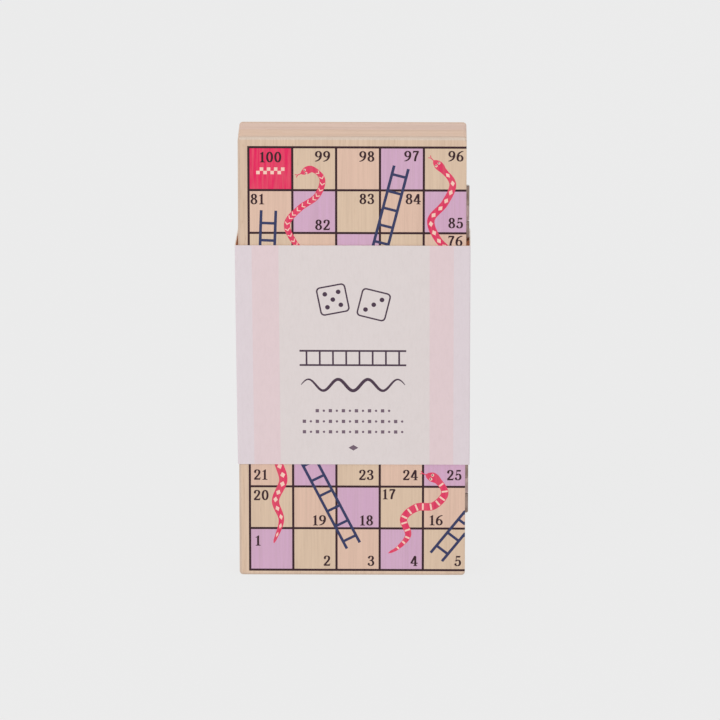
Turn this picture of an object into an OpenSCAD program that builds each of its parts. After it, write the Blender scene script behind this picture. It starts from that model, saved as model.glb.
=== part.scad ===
// Folding wooden snakes and ladders board that closes into its own case.
// The case stands on its short end: +Z up, printed front half towards -Y, hinges at +X.
// Millimetres. The origin is at the centre of the bottom end.

/* [Case] */
// Width of the closed case, half of the open board
case_w = 100; // [90:1:120]
// Height of the closed case, the length of the hinged side
case_h = 200; // [180:1:220]
// Depth of the closed case, both trays together
case_d = 30; // [27:0.5:36]
// Thickness of each printed panel
panel_t = 3.2; // [2.5:0.1:4]
// Thickness of the rails and stiles that make the tray walls
wall_t = 8; // [7.5:0.5:10]
// Radius of the case's four outline corners
corner_r = 1.6; // [0.8:0.1:3]
// Gap between the two trays' rims when the case is closed
seam = 0.2; // [0.1:0.05:0.4]

/* [Hinges] */
// Length of each hinge
hinge_len = 24.5; // [20:0.5:26]
// Distance of each hinge's middle from its end of the case
hinge_off = 37.5; // [30:0.25:45]
// Length of the middle knuckle
mid_knuckle = 7; // [6:0.25:8]
// Radius of the knuckles
knuckle_r = 1.3; // [1.2:0.05:1.6]
// Radius of the hinge pin
pin_r = 0.7; // [0.5:0.05:0.8]
// Thickness of a hinge leaf
leaf_t = 0.8; // [0.6:0.1:1]
// Width of a hinge leaf, from the pin's axis to its free edge
leaf_w = 7.1; // [6:0.1:7.5]
// Distance between the two screws of a leaf
screw_pitch = 16; // [14:0.5:17]

/* [Closure] */
// Diameter of each magnet
magnet_d = 6; // [4:0.5:6]
// Thickness of each magnet
magnet_t = 2; // [1:0.5:3]
// Distance of each magnet from its end of the case
magnet_off = 40; // [25:1:60]

/* [Sleeve] */
// Height of the card sleeve
sleeve_h = 100; // [60:0.5:110]
// Thickness of the card
card_t = 0.4; // [0.3:0.05:0.6]
// Slack between sleeve and case on the opening side
slack_open = 1.1; // [0.3:0.1:2]
// Slack between sleeve and case in front and behind
slack_face = 0.15; // [0.1:0.05:0.4]
// Width of the glued overlap at the back of the sleeve
overlap_w = 14; // [8:1:24]
// Height of the sleeve's middle above the case's middle
sleeve_up = 1.5; // [-4:0.5:4]

/* [Game pieces] */
// Height of a pawn
pawn_h = 22; // [18:0.5:26]
// Radius of a pawn's foot
pawn_r = 5; // [4:0.1:5]
// Edge of the die
die_a = 10; // [8:0.5:10]

/* [Hidden] */
$fn = 64;
wood = [0.85, 0.74, 0.64];
print_face = [0.83, 0.66, 0.72];
metal = [0.47, 0.37, 0.32];
hx = case_w / 2;                       // half width
hd = case_d / 2;                       // half depth
rim = seam / 2;                        // rim plane of each tray
axis_x = hx + 0.1;                     // hinge axis, at y = 0
hinges = [hinge_off, case_h - hinge_off];
gap = 0.3;                             // between knuckles, on average
lift = 0.2;                            // the middle knuckle sits this far above its gap's middle
end_knuckle = (hinge_len - mid_knuckle) / 2 - gap;
bore_r = pin_r + 0.05;                 // running clearance on the pin
sweep_r = knuckle_r + 0.25;            // room for the other leaf's knuckles
groove_r = knuckle_r + 0.3;            // room in the stile for the barrel
screw_x = axis_x - (leaf_w + groove_r) / 2;
screw_r = 0.8;
head_r = 1.5;
screw_l = 6;
magnet_x = -hx + wall_t / 2;
magnets_z = [magnet_off, case_h - magnet_off];
slack_hinge = axis_x + knuckle_r + 0.1 - hx;   // the sleeve clears the hinge barrels
sleeve_z = (case_h - sleeve_h) / 2 + sleeve_up;
piece_y = -(rim + hd - panel_t) / 2;   // middle of the front tray's depth
pawns_x = [-30, -16, -2, 12];
die_x = 28;
eps = 0.01;

// Outline of the case seen from the front, with its four round corners
module outline() {
  translate([-hx + corner_r, 0]) square([case_w - 2 * corner_r, case_h]);
  translate([-hx, corner_r]) square([case_w, case_h - 2 * corner_r]);
  for (x = [-hx + corner_r, hx - corner_r], z = [corner_r, case_h - corner_r])
    translate([x, z]) circle(corner_r);
}

// The outline as a block from depth y0 to depth y1
module slab(y0, y1) {
  translate([0, y1, 0]) rotate([90, 0, 0]) linear_extrude(y1 - y0) outline();
}

// One tray's pieces, made for the front; the back tray is their mirror image
module panel() { slab(-hd, -hd + panel_t); }

module rail(z) {
  intersection() {
    slab(-hd + panel_t, -rim);
    translate([-hx - 1, -hd, z]) cube([case_w + 2, case_d, wall_t]);
  }
}

module stile_bar(x) {
  translate([x, -hd + panel_t, wall_t])
    cube([wall_t, hd - panel_t - rim, case_h - 2 * wall_t]);
}

// Stile at the hinge side: recess for each leaf, groove for each barrel, pilot holes
module hinge_stile() {
  difference() {
    stile_bar(hx - wall_t);
    for (z = hinges) {
      translate([axis_x - leaf_w, -rim - leaf_t, z - hinge_len / 2])
        cube([leaf_w + 1, leaf_t + 1, hinge_len]);
      translate([axis_x, 0, z - hinge_len / 2 - 0.5])
        cylinder(r = groove_r, h = hinge_len + 1);
      for (s = [-1, 1])
        translate([screw_x, -rim, z + s * screw_pitch / 2]) rotate([90, 0, 0])
          cylinder(r = screw_r + 0.02, h = leaf_t + screw_l + 0.5, $fn = 32);
    }
  }
}

// Stile at the opening side: blind pockets for the magnets
module opening_stile() {
  difference() {
    stile_bar(-hx);
    for (z = magnets_z)
      translate([magnet_x, 1, z]) rotate([90, 0, 0])
        cylinder(d = magnet_d + 0.04, h = 1 + rim + magnet_t);
  }
}

module magnets() {
  for (z = magnets_z)
    translate([magnet_x, -rim, z]) rotate([90, 0, 0])
      cylinder(d = magnet_d, h = magnet_t);
}

// A run of barrel on the hinge axis, from z0 to z1 about the hinge's middle
module barrel(r, z0, z1) { translate([axis_x, 0, z0]) cylinder(r = r, h = z1 - z0); }

// Plate of the front leaf with its two countersunk holes
module leaf_plate() {
  difference() {
    translate([axis_x - leaf_w, -rim - leaf_t, -hinge_len / 2]) cube([leaf_w, leaf_t, hinge_len]);
    for (s = [-1, 1]) translate([screw_x, -rim, s * screw_pitch / 2]) rotate([90, 0, 0]) {
      translate([0, 0, -eps]) cylinder(r1 = head_r + 0.06, r2 = screw_r + 0.06, h = leaf_t + 2 * eps, $fn = 32);
    }
  }
}

// Leaf with the two end knuckles
module end_leaf() {
  difference() {
    union() {
      leaf_plate();
      for (s = [-1, 1]) barrel(knuckle_r, s > 0 ? hinge_len / 2 - end_knuckle : -hinge_len / 2,
                               s > 0 ? hinge_len / 2 : -hinge_len / 2 + end_knuckle);
    }
    barrel(sweep_r, -mid_knuckle / 2 - gap, mid_knuckle / 2 + gap);
    barrel(bore_r, -hinge_len, hinge_len);
  }
}

// Leaf with the middle knuckle, made on the front side and mirrored to the back
module mid_leaf() {
  k = mid_knuckle / 2;
  difference() {
    union() {
      leaf_plate();
      barrel(knuckle_r, lift - k, lift + k);
    }
    barrel(sweep_r, lift + k, hinge_len);
    barrel(sweep_r, -hinge_len, lift - k);
    barrel(bore_r, -hinge_len, hinge_len);
  }
}

// Pin with a low peened head at each end
module pin() {
  e = hinge_len / 2;
  barrel(pin_r, -e - 0.3, e + 0.3);
  barrel(pin_r + 0.3, -e - 0.35, -e - 0.05);
  barrel(pin_r + 0.3, e + 0.05, e + 0.35);
}

// Slotted countersunk screw, driven from the rim into the stile
module screw() {
  rotate([90, 0, 0]) difference() {
    union() {
      cylinder(r1 = head_r, r2 = screw_r, h = leaf_t, $fn = 32);
      cylinder(r = screw_r, h = leaf_t + screw_l - 1, $fn = 32);
      translate([0, 0, leaf_t + screw_l - 1]) cylinder(r1 = screw_r, r2 = 0.15, h = 1, $fn = 32);
    }
    translate([-head_r - 1, -0.2, -1]) cube([2 * head_r + 2, 0.4, 1.3]);
  }
}

module screws() {
  for (z = hinges, s = [-1, 1]) translate([screw_x, -rim, z + s * screw_pitch / 2]) screw();
}

// Card band folded round the closed case, with its glued overlap behind
module sleeve_ring(grow, r) {
  x0 = -hx - slack_open - grow;
  x1 = hx + slack_hinge + grow;
  y0 = hd + slack_face + grow;
  translate([x0 + r, -y0]) square([x1 - x0 - 2 * r, 2 * y0]);
  translate([x0, -y0 + r]) square([x1 - x0, 2 * y0 - 2 * r]);
  for (x = [x0 + r, x1 - r], y = [-y0 + r, y0 - r]) translate([x, y]) circle(r, $fn = 32);
}

// Turned pawn: foot, coved waist, collar and ball
module pawn(x) {
  foot = 2.2;
  ball = pawn_r * 0.7;
  waist = pawn_h - foot - 2 * ball + 0.8;
  translate([x, piece_y, wall_t]) {
    cylinder(r = pawn_r, h = foot);
    translate([0, 0, foot]) cylinder(r1 = pawn_r * 0.84, r2 = pawn_r * 0.38, h = waist);
    translate([0, 0, foot + waist - 0.9]) cylinder(r = pawn_r * 0.56, h = 0.9);
    translate([0, 0, pawn_h - ball]) sphere(ball);
  }
}

// Places of the pips on a face of n, as fractions of the die's edge
function pips(n) =
  n == 1 ? [[0, 0]] :
  n == 2 ? [[-1, -1], [1, 1]] :
  n == 3 ? [[-1, -1], [0, 0], [1, 1]] :
  n == 4 ? [[-1, -1], [1, 1], [-1, 1], [1, -1]] :
  n == 5 ? [[-1, -1], [1, 1], [-1, 1], [1, -1], [0, 0]] :
  [[-1, -1], [1, 1], [-1, 1], [1, -1], [-1, 0], [1, 0]];

module face_pips(n) {
  for (p = pips(n)) translate([p[0] * die_a * 0.26, p[1] * die_a * 0.26, die_a / 2 + 0.75]) sphere(1.2, $fn = 32);
}

// ---- nodes -------------------------------------------------------------

module front_panel() { color(print_face) panel(); }
module front_top_rail() { color(wood) rail(case_h - wall_t); }
module front_bottom_rail() { color(wood) rail(0); }
module front_hinge_stile() { color(wood) hinge_stile(); }
module front_opening_stile() { color(wood) opening_stile(); }

module back_panel() { color(print_face) mirror([0, 1, 0]) panel(); }
module back_top_rail() { color(wood) mirror([0, 1, 0]) rail(case_h - wall_t); }
module back_bottom_rail() { color(wood) mirror([0, 1, 0]) rail(0); }
module back_hinge_stile() { color(wood) mirror([0, 1, 0]) hinge_stile(); }
module back_opening_stile() { color(wood) mirror([0, 1, 0]) opening_stile(); }

module upper_hinge_front_leaf() { color(metal) translate([0, 0, hinges[1]]) end_leaf(); }
module upper_hinge_back_leaf() { color(metal) translate([0, 0, hinges[1]]) mirror([0, 1, 0]) mid_leaf(); }
module upper_hinge_pin() { color(metal) translate([0, 0, hinges[1]]) pin(); }
module lower_hinge_front_leaf() { color(metal) translate([0, 0, hinges[0]]) end_leaf(); }
module lower_hinge_back_leaf() { color(metal) translate([0, 0, hinges[0]]) mirror([0, 1, 0]) mid_leaf(); }
module lower_hinge_pin() { color(metal) translate([0, 0, hinges[0]]) pin(); }

module front_hinge_screws() { color(metal) screws(); }
module back_hinge_screws() { color(metal) mirror([0, 1, 0]) screws(); }
module front_magnets() { color("silver") magnets(); }
module back_magnets() { color("silver") mirror([0, 1, 0]) magnets(); }

module sleeve() {
  color([0.87, 0.82, 0.83]) translate([0, 0, sleeve_z]) {
    linear_extrude(sleeve_h) difference() {
      sleeve_ring(card_t, 0.6);
      sleeve_ring(0, 0.2);
    }
    translate([-overlap_w / 2, hd + slack_face + card_t, 0]) cube([overlap_w, card_t, sleeve_h]);
  }
}

module pawn_navy() { color([0.16, 0.18, 0.33]) pawn(pawns_x[0]); }
module pawn_pink() { color([0.86, 0.2, 0.36]) pawn(pawns_x[1]); }
module pawn_lilac() { color([0.72, 0.55, 0.72]) pawn(pawns_x[2]); }
module pawn_peach() { color([0.9, 0.66, 0.52]) pawn(pawns_x[3]); }

// Opposite faces of the die add up to seven
module die() {
  color([0.9, 0.82, 0.72]) translate([die_x, piece_y, wall_t + die_a / 2]) difference() {
    intersection() {
      cube(die_a, center = true);
      sphere(die_a * 0.72, $fn = 96);
    }
    face_pips(6);
    rotate([180, 0, 0]) face_pips(1);
    rotate([90, 0, 0]) face_pips(2);
    rotate([-90, 0, 0]) face_pips(5);
    rotate([0, 90, 0]) face_pips(3);
    rotate([0, -90, 0]) face_pips(4);
  }
}

front_panel();
front_top_rail();
front_bottom_rail();
front_hinge_stile();
front_opening_stile();
back_panel();
back_top_rail();
back_bottom_rail();
back_hinge_stile();
back_opening_stile();
upper_hinge_front_leaf();
upper_hinge_back_leaf();
upper_hinge_pin();
lower_hinge_front_leaf();
lower_hinge_back_leaf();
lower_hinge_pin();
front_hinge_screws();
back_hinge_screws();
front_magnets();
back_magnets();
sleeve();
pawn_navy();
pawn_pink();
pawn_lilac();
pawn_peach();
die();
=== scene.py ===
import math

import bmesh
import bpy
import numpy as np
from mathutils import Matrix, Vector
from mathutils.geometry import delaunay_2d_cdt


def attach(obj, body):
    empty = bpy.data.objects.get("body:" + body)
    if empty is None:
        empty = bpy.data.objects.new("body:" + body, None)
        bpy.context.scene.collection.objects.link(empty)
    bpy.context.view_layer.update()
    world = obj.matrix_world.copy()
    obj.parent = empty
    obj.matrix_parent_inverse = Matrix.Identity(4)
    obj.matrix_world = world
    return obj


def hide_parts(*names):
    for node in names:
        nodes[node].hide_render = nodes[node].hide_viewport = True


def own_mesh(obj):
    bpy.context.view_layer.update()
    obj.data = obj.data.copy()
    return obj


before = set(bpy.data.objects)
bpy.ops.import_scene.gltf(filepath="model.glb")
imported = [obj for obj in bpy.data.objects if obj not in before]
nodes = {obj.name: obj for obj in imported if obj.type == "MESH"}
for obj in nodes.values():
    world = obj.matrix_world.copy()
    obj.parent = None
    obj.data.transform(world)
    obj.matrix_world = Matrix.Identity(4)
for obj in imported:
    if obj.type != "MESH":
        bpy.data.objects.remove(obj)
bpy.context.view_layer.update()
scene = bpy.context.scene
MM = 0.001

# The case, in millimetres, as the CAD has it
W, H, HD = 100.0, 200.0, 15.0
PANEL_T, WALL, CORNER, RIM = 3.2, 8.0, 1.6, 0.1
MEET = 0.03
AXIS_X, LEAF_W, LEAF_T, GROOVE_R = 50.1, 7.1, 0.8, 1.6
HINGES, HINGE_LEN = (37.5, 162.5), 24.5
MAGNET_X, MAGNETS = -46.0, (40.0, 160.0)
EASE, FOLD_EASE, RIM_EASE = 1.0, 0.5, 0.25

# The board's print: a grid of ten by ten, in board coordinates (0 to 200 across both halves, 0 to 200 up)
U0, PU = 4.7, 19.16
Z0, PZ = 2.47, 19.323
LINE = 1.0


# ---------------------------------------------------------------- materials
def srgb(r, g, b):
    def f(c):
        c /= 255.0
        return c / 12.92 if c <= 0.04045 else ((c + 0.055) / 1.055) ** 2.4
    return (f(r), f(g), f(b), 1.0)


def scaled(c, k):
    return (c[0] * k, c[1] * k, c[2] * k, 1.0)


class Mat:
    """A material and short ways to add its nodes."""

    def __init__(self, name):
        self.m = bpy.data.materials.new(name)
        self.m.use_nodes = True
        self.nt = self.m.node_tree
        self.nt.nodes.clear()
        out = self.nt.nodes.new("ShaderNodeOutputMaterial")
        self.bsdf = self.nt.nodes.new("ShaderNodeBsdfPrincipled")
        self.link(self.bsdf.outputs["BSDF"], out.inputs["Surface"])
        self.co = self.nt.nodes.new("ShaderNodeTexCoord").outputs["Object"]

    def link(self, a, b):
        self.nt.links.new(a, b)

    def feed(self, socket, value):
        if hasattr(value, "is_output"):
            self.link(value, socket)
        else:
            socket.default_value = value

    def mapped(self, scale, shift=(0, 0, 0)):
        n = self.nt.nodes.new("ShaderNodeMapping")
        n.inputs["Scale"].default_value = scale
        n.inputs["Location"].default_value = shift
        self.link(self.co, n.inputs["Vector"])
        return n.outputs["Vector"]

    def noise(self, vector, detail=2.0, rough=0.5, distort=0.0, scale=1.0):
        n = self.nt.nodes.new("ShaderNodeTexNoise")
        n.inputs["Scale"].default_value = scale
        n.inputs["Detail"].default_value = detail
        n.inputs["Roughness"].default_value = rough
        n.inputs["Distortion"].default_value = distort
        self.link(vector, n.inputs["Vector"])
        return n.outputs["Fac"]

    def ramp(self, fac, *stops):
        n = self.nt.nodes.new("ShaderNodeValToRGB")
        el = n.color_ramp.elements
        while len(el) < len(stops):
            el.new(0.5)
        for e, (p, c) in zip(el, stops):
            e.position = p
            e.color = c if len(c) == 4 else (*c, 1.0)
        self.link(fac, n.inputs["Fac"])
        return n.outputs["Color"]

    def mix(self, fac, a, b, blend="MIX"):
        n = self.nt.nodes.new("ShaderNodeMix")
        n.data_type = "RGBA"
        n.blend_type = blend
        self.feed(n.inputs[0], fac)
        self.feed(n.inputs[6], a)
        self.feed(n.inputs[7], b)
        return n.outputs[2]

    def math(self, op, a, b):
        n = self.nt.nodes.new("ShaderNodeMath")
        n.operation = op
        self.feed(n.inputs[0], a)
        self.feed(n.inputs[1], b)
        return n.outputs[0]

    def span(self, fac, lo, hi, reach=0.25):
        n = self.nt.nodes.new("ShaderNodeMapRange")
        n.inputs["From Min"].default_value = 0.5 - reach
        n.inputs["From Max"].default_value = 0.5 + reach
        n.inputs["To Min"].default_value = lo
        n.inputs["To Max"].default_value = hi
        self.link(fac, n.inputs["Value"])
        return n.outputs["Result"]

    def bump(self, height, strength, distance):
        n = self.nt.nodes.new("ShaderNodeBump")
        n.inputs["Strength"].default_value = strength
        n.inputs["Distance"].default_value = distance
        self.link(height, n.inputs["Height"])
        self.link(n.outputs["Normal"], self.bsdf.inputs["Normal"])

    def base(self, colour):
        self.feed(self.bsdf.inputs["Base Color"], colour)

    def set(self, **values):
        for k, v in values.items():
            self.feed(self.bsdf.inputs[k.replace("_", " ")], v)


GAIN = 1.0
WOOD = scaled(srgb(217, 190, 167), GAIN)
RAIL = {"front": scaled(srgb(220, 187, 163), GAIN), "back": scaled(srgb(217, 187, 171), GAIN)}
WOOD_END = scaled(srgb(216, 188, 167), GAIN)
# painted light on the board's eased edges: a lighter, greyer wood for a painted highlight along the top edge, and a
# darker wood for painted shade along the other edges
WOOD_EDGE_HIGHLIGHT = scaled(srgb(215, 197, 181), GAIN)
WOOD_SIDE_SHADE = scaled(srgb(205, 181, 162), GAIN)


def wood(name, along, tone, seed=0.0, ink=None, cover=0.0, streak=0.6, rough=(0.46, 0.62), grip=1.0, gloss=0.3, thin_by=None):
    """Fine pale hardwood with its grain along one axis (0 X, 1 Y, 2 Z), bare or under a thin ink."""
    m = Mat(name)

    def grain(al, ac, k):
        s = [ac, ac, ac]
        s[along] = al
        return m.mapped(s, (seed + k, seed * 1.7 + 2 * k, seed * 0.6 + 3 * k))

    band = m.noise(grain(7, 75, 0.0), 3, 0.55, 0.4)
    streaks = m.noise(grain(11, 380, 5.0), 3, 0.6, 0.2)
    fibre = m.noise(grain(60, 1700, 9.0), 2, 0.5)
    pores = m.noise(grain(190, 2300, 13.0), 1, 0.5)
    comb = m.noise(grain(70, 900, 17.0), 2, 0.55)
    tones = m.ramp(band, (0.30, scaled(tone, 1 - 0.085 * streak)), (0.52, tone), (0.72, scaled(tone, 1 + 0.05 * streak)))
    thin = m.ramp(streaks, (0.30, (1 - 0.10 * streak, 1 - 0.125 * streak, 1 - 0.15 * streak)), (0.55, (1, 1, 1)),
                  (0.75, (1 + 0.03 * streak,) * 3))
    c = m.mix(1.0, tones, thin, "MULTIPLY")
    lines = m.ramp(fibre, (0.28, (0.93, 0.915, 0.90)), (0.62, (1.02, 1.02, 1.02)))
    c = m.mix(1.0, c, lines, "MULTIPLY")
    dark = m.ramp(pores, (0.66, (1, 1, 1)), (0.76, (0.86, 0.82, 0.78)))
    c = m.mix(1.0, c, dark, "MULTIPLY")
    if ink is not None:
        shade = m.ramp(streaks, (0.28, (1 - 0.05 * grip, 1 - 0.06 * grip, 1 - 0.05 * grip)), (0.6, (1 + 0.01 * grip,) * 3))
        laid = m.mix(1.0, ink, shade, "MULTIPLY")
        laid = m.mix(1.0, laid, m.ramp(fibre, (0.30, (1 - 0.05 * grip,) * 3), (0.6, (1 + 0.015 * grip,) * 3)), "MULTIPLY")
        # the ink lies thinner over the open pores and the harder streaks
        if thin_by is None:
            held = m.span(fibre, 1.4 * cover - 0.4, 0.6 * cover + 0.4)
        else:
            held = m.span(comb, cover - thin_by, min(cover + thin_by, 1.0), 0.12)
        c = m.mix(held, c, laid)
    m.base(c)
    m.set(Roughness=m.span(fibre, rough[0], rough[1]))
    m.bsdf.inputs["Specular IOR Level"].default_value = gloss
    height = m.math("ADD", m.math("MULTIPLY", fibre, 0.7), m.math("MULTIPLY", streaks, 0.5))
    m.bump(height, 0.22, 0.00012)
    return m.m


def end_grain(name, tone, seed=0.0):
    """The sawn and sanded end of the wood: fine dots and faint growth rings."""
    m = Mat(name)
    dots = m.noise(m.mapped((1900, 1900, 1900), (seed, 3 + seed, 7)), 2, 0.6)
    rings = m.noise(m.mapped((90, 420, 160), (seed + 4, 1, seed)), 3, 0.55, 0.5)
    c = m.mix(1.0, m.ramp(rings, (0.3, scaled(tone, 0.90)), (0.7, scaled(tone, 1.02))),
              m.ramp(dots, (0.3, (0.88, 0.86, 0.84)), (0.6, (1.02, 1.02, 1.02))), "MULTIPLY")
    m.base(c)
    m.set(Roughness=m.span(dots, 0.55, 0.72))
    m.bsdf.inputs["Specular IOR Level"].default_value = 0.3
    m.bump(dots, 0.2, 0.0001)
    return m.m


def card(name, tone, gloss=0.5, mottle=1.0, tooth=0.1, painted_glow=0.0):
    """Coated or raw card: faint mottling and a fine tooth; the last argument is painted light, a glow in the card's own
    colour that lifts it out of the shade it lies in.
    """
    m = Mat(name)
    cloud = m.noise(m.mapped((140, 140, 140), (2, 5, 1)), 3, 0.55)
    tiny = m.noise(m.mapped((2600, 2600, 2600), (1, 8, 4)), 2, 0.6)
    fibres = m.noise(m.mapped((900, 900, 240), (6, 3, 2)), 3, 0.6, 0.6)
    c = m.mix(1.0, m.ramp(cloud, (0.3, scaled(tone, 1 - 0.025 * mottle)), (0.7, scaled(tone, 1 + 0.015 * mottle))),
              m.ramp(tiny, (0.3, (1 - 0.03 * mottle,) * 3), (0.65, (1 + 0.012 * mottle,) * 3)), "MULTIPLY")
    c = m.mix(1.0, c, m.ramp(fibres, (0.34, (1 - 0.05 * mottle, 1 - 0.055 * mottle, 1 - 0.06 * mottle)), (0.55, (1, 1, 1))), "MULTIPLY")
    m.base(c)
    m.set(Roughness=m.span(tiny, gloss - 0.05, gloss + 0.08))
    m.bsdf.inputs["Specular IOR Level"].default_value = 0.35
    m.bump(m.math("ADD", tiny, fibres), tooth, 0.00006)
    # painted light: the card glows in its own colour, as if lit where it lies in shade
    if painted_glow:
        m.feed(m.bsdf.inputs["Emission Color"], c)
        m.bsdf.inputs["Emission Strength"].default_value = painted_glow
    return m.m


def metal(name, dark, light, rough, scale=900, stretch=1.0):
    """Plated or aged metal with a mottled tarnish and fine drawn lines along its length."""
    m = Mat(name)
    tarnish = m.noise(m.mapped((scale, scale, scale * 0.4), (3, 1, 2)), 4, 0.6, 0.3)
    lines = m.noise(m.mapped((6000, 6000, 250 * stretch), (5, 2, 9)), 2, 0.5)
    c = m.mix(1.0, m.ramp(tarnish, (0.32, dark), (0.66, light)),
              m.ramp(lines, (0.3, (0.86, 0.85, 0.84)), (0.7, (1.04, 1.04, 1.04))), "MULTIPLY")
    m.base(c)
    m.bsdf.inputs["Metallic"].default_value = 1.0
    m.set(Roughness=m.span(tarnish, rough[0], rough[1]))
    m.bump(m.math("ADD", m.math("MULTIPLY", lines, 0.5), tarnish), 0.16, 0.00005)
    return m.m


def paint(name, tone, seed):
    """Satin paint on turned wood: brushed turning lines, and a little wood where the paint is chipped."""
    m = Mat(name)
    turn = m.noise(m.mapped((260, 260, 3200), (seed, seed * 2, 4)), 2, 0.5)
    cloud = m.noise(m.mapped((420, 420, 420), (seed + 3, 2, seed)), 3, 0.55)
    c = m.mix(1.0, m.ramp(cloud, (0.3, scaled(tone, 0.92)), (0.7, scaled(tone, 1.05))),
              m.ramp(turn, (0.3, (0.93, 0.93, 0.93)), (0.65, (1.03, 1.03, 1.03))), "MULTIPLY")
    chips = m.noise(m.mapped((700, 700, 900), (seed + 9, 1, seed)), 3, 0.6)
    c = m.mix(m.ramp(chips, (0.70, (0, 0, 0)), (0.73, (1, 1, 1))), c, scaled(WOOD, 0.92))
    m.base(c)
    m.set(Roughness=m.span(turn, 0.30, 0.44))
    m.bsdf.inputs["Coat Weight"].default_value = 0.25
    m.bsdf.inputs["Coat Roughness"].default_value = 0.2
    m.bump(turn, 0.12, 0.00006)
    return m.m


# ---------------------------------------------------------------- drawing in the plane
def rect(x0, z0, x1, z1):
    return [(x0, z0), (x1, z0), (x1, z1), (x0, z1)]


def unit(v):
    return v / max(np.hypot(*v), 1e-9)


def bar(p, q, t):
    """A straight bar of thickness t from p to q."""
    p, q = np.array(p, float), np.array(q, float)
    d = unit(q - p)
    n = np.array([-d[1], d[0]]) * t / 2
    return [p + n, p - n, q - n, q + n]


def oval(c, a, b, d=(1.0, 0.0), n=18):
    d = unit(np.array(d, float))
    e = np.array([-d[1], d[0]])
    t = np.linspace(0, 2 * math.pi, n, endpoint=False)
    return [np.array(c) + a * math.cos(x) * d + b * math.sin(x) * e for x in t]


def framed(c, d, points):
    """Points given along direction d and across it, about c."""
    d = unit(np.array(d, float))
    e = np.array([-d[1], d[0]])
    return [np.array(c) + x * d + y * e for x, y in points]


def bezier(p0, p1, p2, p3, n=9):
    t = np.linspace(0, 1, n + 1)[:, None]
    p0, p1, p2, p3 = (np.array(p, float) for p in (p0, p1, p2, p3))
    return (1 - t) ** 3 * p0 + 3 * t * (1 - t) ** 2 * p1 + 3 * t * t * (1 - t) * p2 + t ** 3 * p3


def path(start, *parts):
    out = [np.array([start], float)]
    for c1, c2, end in parts:
        out.append(bezier(out[-1][-1], c1, c2, end)[1:])
    return np.concatenate(out)


def spline(points, step=0.7):
    """A smooth line through the points, at an even spacing."""
    p = np.array(points, float)
    p = np.concatenate([[2 * p[0] - p[1]], p, [2 * p[-1] - p[-2]]])
    out = []
    for i in range(1, len(p) - 2):
        t = np.linspace(0, 1, 40, endpoint=False)[:, None]
        a, b, c, d = p[i - 1], p[i], p[i + 1], p[i + 2]
        out.append(0.5 * (2 * b + (c - a) * t + (2 * a - 5 * b + 4 * c - d) * t ** 2 + (3 * b - a - 3 * c + d) * t ** 3))
    q = np.concatenate(out + [p[-2:-1]])
    s = np.concatenate([[0], np.cumsum(np.hypot(*np.diff(q, axis=0).T))])
    even = np.linspace(0, s[-1], max(int(s[-1] / step), 8))
    return np.stack([np.interp(even, s, q[:, 0]), np.interp(even, s, q[:, 1])], axis=1), even


# Numerals: strokes of a broad nib, wide across and thin up and down, on a height of 1
NIB = (0.098, 0.043)


def touch(d):
    """Where an oval nib's edge faces direction d."""
    a, b = NIB
    return np.array([a * a * d[0], b * b * d[1]]) / math.hypot(a * d[0], b * d[1])


def pen(pts):
    """Outline of a nib drawn along an open line."""
    t = np.gradient(pts, axis=0)
    n = np.array([unit(np.array([-v[1], v[0]])) for v in t])
    left = [p + touch(d) for p, d in zip(pts, n)]
    right = [p - touch(d) for p, d in zip(pts, n)]

    def cap(p, d0):
        a0 = math.atan2(d0[1], d0[0])
        return [p + touch((math.cos(a0 - k * math.pi / 5), math.sin(a0 - k * math.pi / 5))) for k in range(1, 5)]
    return [left + cap(pts[-1], n[-1]) + right[::-1] + cap(pts[0], -n[0])]


def eye(cx, cz, rx, rz, n=28):
    """Outline of a nib drawn round an oval: the outer loop and the counter."""
    out, inn = [], []
    for t in np.linspace(0, 2 * math.pi, n, endpoint=False):
        p = np.array([cx + rx * math.cos(t), cz + rz * math.sin(t)])
        d = unit(np.array([math.cos(t) / rx, math.sin(t) / rz]))
        out.append(p + touch(d))
        inn.append(p - touch(d))
    return [out, inn]


def dot(x, z, r=0.10):
    return [oval((x, z), r, r, n=16)]


def six():
    return [eye(0.335, 0.305, 0.222, 0.262),
            pen(path((0.108, 0.34), ((0.108, 0.60), (0.20, 0.86), (0.565, 0.955))))]


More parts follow.
